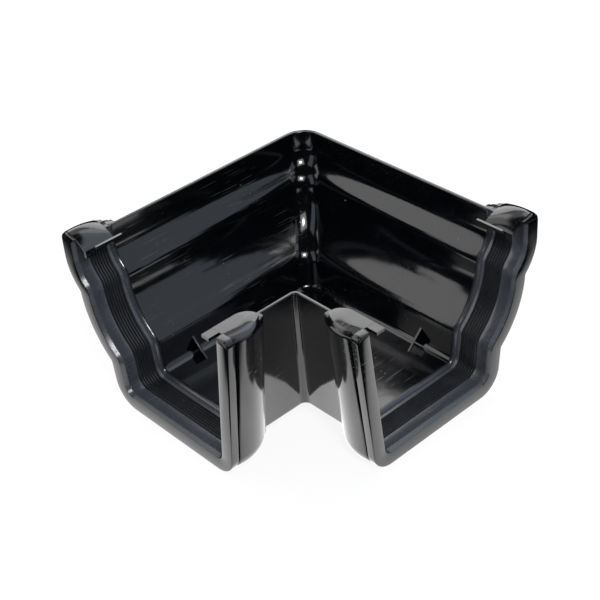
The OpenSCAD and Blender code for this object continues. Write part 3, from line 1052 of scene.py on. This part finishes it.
class GUTTERANGLE_OT_stop_ribs(bpy.types.Operator):
    """Builds the small gussets between floor and riser"""

    bl_idname = "gutter_angle.stop_ribs"
    bl_label = "Stop ribs"

    def execute(self, context):
        trough, socket, seal, clips = shown(context)
        solids = Solids()
        rows = section_path(trough)
        riser = [row[0] for row in rows if abs(row[2] - trough.riser_angle) < 0.001][1]
        leg = clips.rib_leg
        wall = trough.wall
        left = riser.x - wall - leg
        base = wall / 2
        section = [(left, base + wall / 2), (left, base), (left + leg * 0.86, base)]
        section += [(left + leg * 0.9, base + leg * 0.3), (left + leg + wall / 2, base + leg)]
        section += [(left + leg + wall / 2, base + leg + wall / 2), (left + leg, base + leg + wall / 2)]
        middle = trough.arm_length - clips.rib_place
        half = clips.rib_thickness / 2
        solids.loft([along(trough, s, section) for s in (middle - half, middle + half)])
        piece = solids.piece("stop_ribs")
        plastic = glossy_plastic(context.scene.finish_settings)
        finish_piece(piece, plastic, ["angle_body"], bevel=0.00025)
        return {"FINISHED"}


class GUTTERANGLE_OT_seals(bpy.types.Operator):
    """Builds the two ribbed rubber seals in their grooves"""

    bl_idname = "gutter_angle.seals"
    bl_label = "Rubber seals"

    def execute(self, context):
        trough, socket, seal, clips = shown(context)
        rubber = seal_rubber(context.scene.finish_settings)
        rows = section_path(trough)
        down = Vector((math.sin(trough.back_lean), -math.cos(trough.back_lean)))
        middle = seal.groove_start + seal.groove_width / 2 - trough.arm_length
        places = [(at, way) for at, way, turn in rows]
        places[0] = (places[0][0] + seal.end_drop * down, places[0][1])
        places[-1] = (places[-1][0] - Vector((0, seal.end_drop)), places[-1][1])
        mesh = bpy.data.meshes.new("left_seal_strip")
        edges = [(k, k + 1) for k in range(len(places) - 1)]
        mesh.from_pydata([(middle, at.x, at.y) for at, way in places], edges, [])
        mark = mesh.attributes.new("outward", "FLOAT_VECTOR", "POINT")
        mark.data.foreach_set("vector", [v for at, way in places for v in (0.0, way.x, way.y)])
        left = bpy.data.objects.new("left_seal_strip", mesh)
        context.scene.collection.objects.link(left)
        values = {
            "Seat": seal.groove_depth - seal.clearance,
            "Thickness": seal.thickness,
            "Lip Height": seal.lip_height,
            "Lip Pitch": (seal.groove_width - 2 * seal.clearance) / seal.lip_count,
            "Lip Count": float(seal.lip_count),
            "Clearance": seal.clearance,
            "Material": rubber,
        }
        run_tree(left, seal_tree(), values)
        points = [swap(v.co) for v in left.data.vertices]
        faces = [tuple(reversed(face.vertices)) for face in left.data.polygons]
        right = make_object("right_seal_strip", points, faces)
        finish_piece(left, rubber, ["left_seal"])
        finish_piece(right, rubber, ["right_seal"])
        return {"FINISHED"}


def softbox(name, azimuth, elevation, width, height, radiance, tint=(1.0, 1.0, 1.0)):
    """A soft lamp in one direction from the object, with its place and size in degrees."""
    a = math.radians(azimuth)
    e = math.radians(elevation)
    away = Vector((math.sin(a) * math.cos(e), -math.cos(a) * math.cos(e), math.sin(e)))
    light = bpy.data.lights.new(name, "AREA")
    light.shape = "RECTANGLE"
    light.size = 2 * LAMP_DISTANCE * math.tan(math.radians(width / 2))
    light.size_y = 2 * LAMP_DISTANCE * math.tan(math.radians(height / 2))
    light.energy = radiance * math.pi * light.size * light.size_y
    light.color = tint
    holder = bpy.data.objects.new(name, light)
    bpy.context.scene.collection.objects.link(holder)
    holder.location = Vector((0.04, 0.04, 0.03)) + LAMP_DISTANCE * away
    holder.rotation_euler = away.to_track_quat("Z", "Y").to_euler()
    return holder


class GUTTERANGLE_OT_stage(bpy.types.Operator):
    """Sets the floor, the lamps, the world and the camera"""

    bl_idname = "gutter_angle.stage"
    bl_label = "Stage"

    def execute(self, context):
        stage = context.scene.stage_settings
        self.floor(stage)
        self.world(context)
        self.lamps()
        self.camera(context, stage)
        return {"FINISHED"}

    def floor(self, stage):
        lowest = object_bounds()[0][2]
        reach = 3.0
        points = [(-reach, -reach, lowest), (reach, -reach, lowest)]
        points += [(reach, reach, lowest), (-reach, reach, lowest)]
        floor = make_object("studio_floor", points, [(0, 1, 2, 3)])
        material, graph, shader = new_material("Studio floor")
        shader.inputs["Base Color"].default_value = (*stage.floor, 1)
        shader.inputs["Roughness"].default_value = 0.9
        shader.inputs["Specular IOR Level"].default_value = 0.0
        path = graph.add("ShaderNodeLightPath")
        camera = Wire(graph.tree, path.outputs["Is Camera Ray"])
        glossy = Wire(graph.tree, path.outputs["Is Glossy Ray"])
        place = graph.add("ShaderNodeSeparateXYZ", None, {"Vector": surface_place(graph)})
        x = Wire(graph.tree, place.outputs["X"])
        y = Wire(graph.tree, place.outputs["Y"])
        across = ((x - 0.04) / 0.165) ** 4.0
        along = ((y - 0.05) / 0.18) ** 4.0
        open_floor = ramped(graph, across + along, 2.6, 0.4) * ramped(graph, x + y, -0.095, -0.06)
        low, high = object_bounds()
        sides = [(low[0], high[0]), (-0.0086, high[1])]
        apart = self.outside(x, y, sides)
        apart = apart.math("MINIMUM", apart, self.outside(y, x, sides))
        # Painted shade: in reflections the floor is darkened near the object's footprint. Elsewhere on
        # the sheet it glows at the near glow strength, and beyond the sheet at the far glow.
        near = open_floor * (0.6 + 0.4 * ramped(graph, apart, -0.005, 0.06))
        tones = []
        for strength in (1.03, stage.floor_far, stage.floor_near):
            inputs = {"Color": (1, 1, 1, 1), "Strength": strength}
            tones.append(graph.wire("ShaderNodeEmission", "Emission", None, inputs))
        lit = Wire(graph.tree, shader.outputs[0])
        seen = graph.wire("ShaderNodeMixShader", "Shader", None, {0: camera * 0.87, 1: lit, 2: tones[0]})
        mirrored = graph.wire("ShaderNodeMixShader", "Shader", None, {0: near, 1: tones[1], 2: tones[2]})
        mixed = graph.wire("ShaderNodeMixShader", "Shader", None, {0: glossy, 1: seen, 2: mirrored})
        target = [n for n in graph.tree.nodes if n.bl_idname == "ShaderNodeOutputMaterial"][0]
        feed(graph.tree, target.inputs["Surface"], mixed)
        floor.data.materials.append(material)
        floor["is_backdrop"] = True

    def outside(self, x, y, sides):
        """How far a place on the floor lies outside one arm's footprint, below zero inside it; near it
        the floor seen in reflections is painted darker, as painted shade.
        """
        gaps = []
        for place, (low, high) in zip((x, y), sides):
            middle = place - (low + high) / 2
            gaps.append(middle.math("ABSOLUTE", middle) - (high - low) / 2)
        return gaps[0].math("MAXIMUM", *gaps)

    def world(self, context):
        world = bpy.data.worlds.new("Studio")
        world.use_nodes = True
        world.node_tree.nodes.clear()
        graph = Graph(world.node_tree)
        path = graph.add("ShaderNodeLightPath")
        camera = Wire(graph.tree, path.outputs["Is Camera Ray"])
        glossy = Wire(graph.tree, path.outputs["Is Glossy Ray"])
        tones = []
        for strength in (0.12, 0.02, 1.0):
            inputs = {"Color": (1, 1, 1, 1), "Strength": strength}
            tones.append(graph.wire("ShaderNodeBackground", "Background", None, inputs))
        dim = graph.wire("ShaderNodeMixShader", "Shader", None, {0: glossy, 1: tones[0], 2: tones[1]})
        back = graph.wire("ShaderNodeMixShader", "Shader", None, {0: camera, 1: dim, 2: tones[2]})
        graph.add("ShaderNodeOutputWorld", None, {"Surface": back})
        context.scene.world = world

    def lamps(self):
        cool = (0.86, 0.96, 1.08)
        softbox("Key", -26, 47, 9, 9, 50.0)
        softbox("Key halo", -26, 46, 26, 26, 4.0)
        softbox("Left window", -136, 28, 35, 44, 2.35)
        softbox("Right window", 84, 58, 50, 26, 1.8, cool)
        softbox("Backdrop", 140, 34, 44, 26, 4.0)
        softbox("Back left", -174, 52, 30, 14, 1.9)
        softbox("High backdrop", 142, 57, 44, 15, 1.2)
        softbox("Right wall", 30, 26, 26, 56, 0.95, cool)
        softbox("Left wall", -86, 34, 18, 50, 1.2, cool)

    def camera(self, context, stage):
        data = bpy.data.cameras.new("Camera")
        data.lens = stage.lens
        data.sensor_width = 36.0
        camera = bpy.data.objects.new("Camera", data)
        context.scene.collection.objects.link(camera)
        a = stage.azimuth
        e = stage.elevation
        back = Vector((math.sin(a) * math.cos(e), -math.cos(a) * math.cos(e), math.sin(e)))
        right = Vector((math.cos(a), math.sin(a), 0))
        up = back.cross(right)
        tilted = right * math.cos(stage.roll) + up * math.sin(stage.roll)
        upright = up * math.cos(stage.roll) - right * math.sin(stage.roll)
        turn = Matrix((tilted, upright, back)).transposed().to_4x4()
        camera.matrix_world = Matrix.Translation(Vector(stage.place)) @ turn
        context.scene.camera = camera
        context.scene.view_settings.view_transform = "Standard"


class GUTTERANGLE_PT_panel(bpy.types.Panel):
    """Lists the steps that build the gutter angle"""

    bl_label = "Gutter external angle"
    bl_idname = "GUTTERANGLE_PT_panel"
    bl_space_type = "VIEW_3D"
    bl_region_type = "UI"
    bl_category = "Gutter"

    def draw(self, context):
        for step in STEPS:
            self.layout.operator(step.bl_idname)


STEPS = (
    GUTTERANGLE_OT_moulding,
    GUTTERANGLE_OT_front_clips,
    GUTTERANGLE_OT_back_clips,
    GUTTERANGLE_OT_stop_ribs,
    GUTTERANGLE_OT_seals,
    GUTTERANGLE_OT_stage,
)
GROUPS = {
    "trough_sizes": TroughSizes,
    "socket_sizes": SocketSizes,
    "seal_sizes": SealSizes,
    "clip_sizes": ClipSizes,
    "finish_settings": FinishSettings,
    "stage_settings": StageSettings,
}


def register():
    """Registers the groups, the steps and the panel."""
    for name, group in GROUPS.items():
        bpy.utils.register_class(group)
        setattr(bpy.types.Scene, name, PointerProperty(type=group))
    for step in STEPS:
        bpy.utils.register_class(step)
    bpy.utils.register_class(GUTTERANGLE_PT_panel)


def unregister():
    """Takes them all away again."""
    bpy.utils.unregister_class(GUTTERANGLE_PT_panel)
    for step in reversed(STEPS):
        bpy.utils.unregister_class(step)
    for name, group in reversed(GROUPS.items()):
        delattr(bpy.types.Scene, name)
        bpy.utils.unregister_class(group)


def main():
    """Registers the steps, builds every piece and sets the stage."""
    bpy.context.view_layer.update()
    register()
    bpy.ops.gutter_angle.moulding()
    bpy.ops.gutter_angle.front_clips()
    bpy.ops.gutter_angle.back_clips()
    bpy.ops.gutter_angle.stop_ribs()
    bpy.ops.gutter_angle.seals()
    bpy.ops.gutter_angle.stage()


if __name__ == "__main__":
    main()
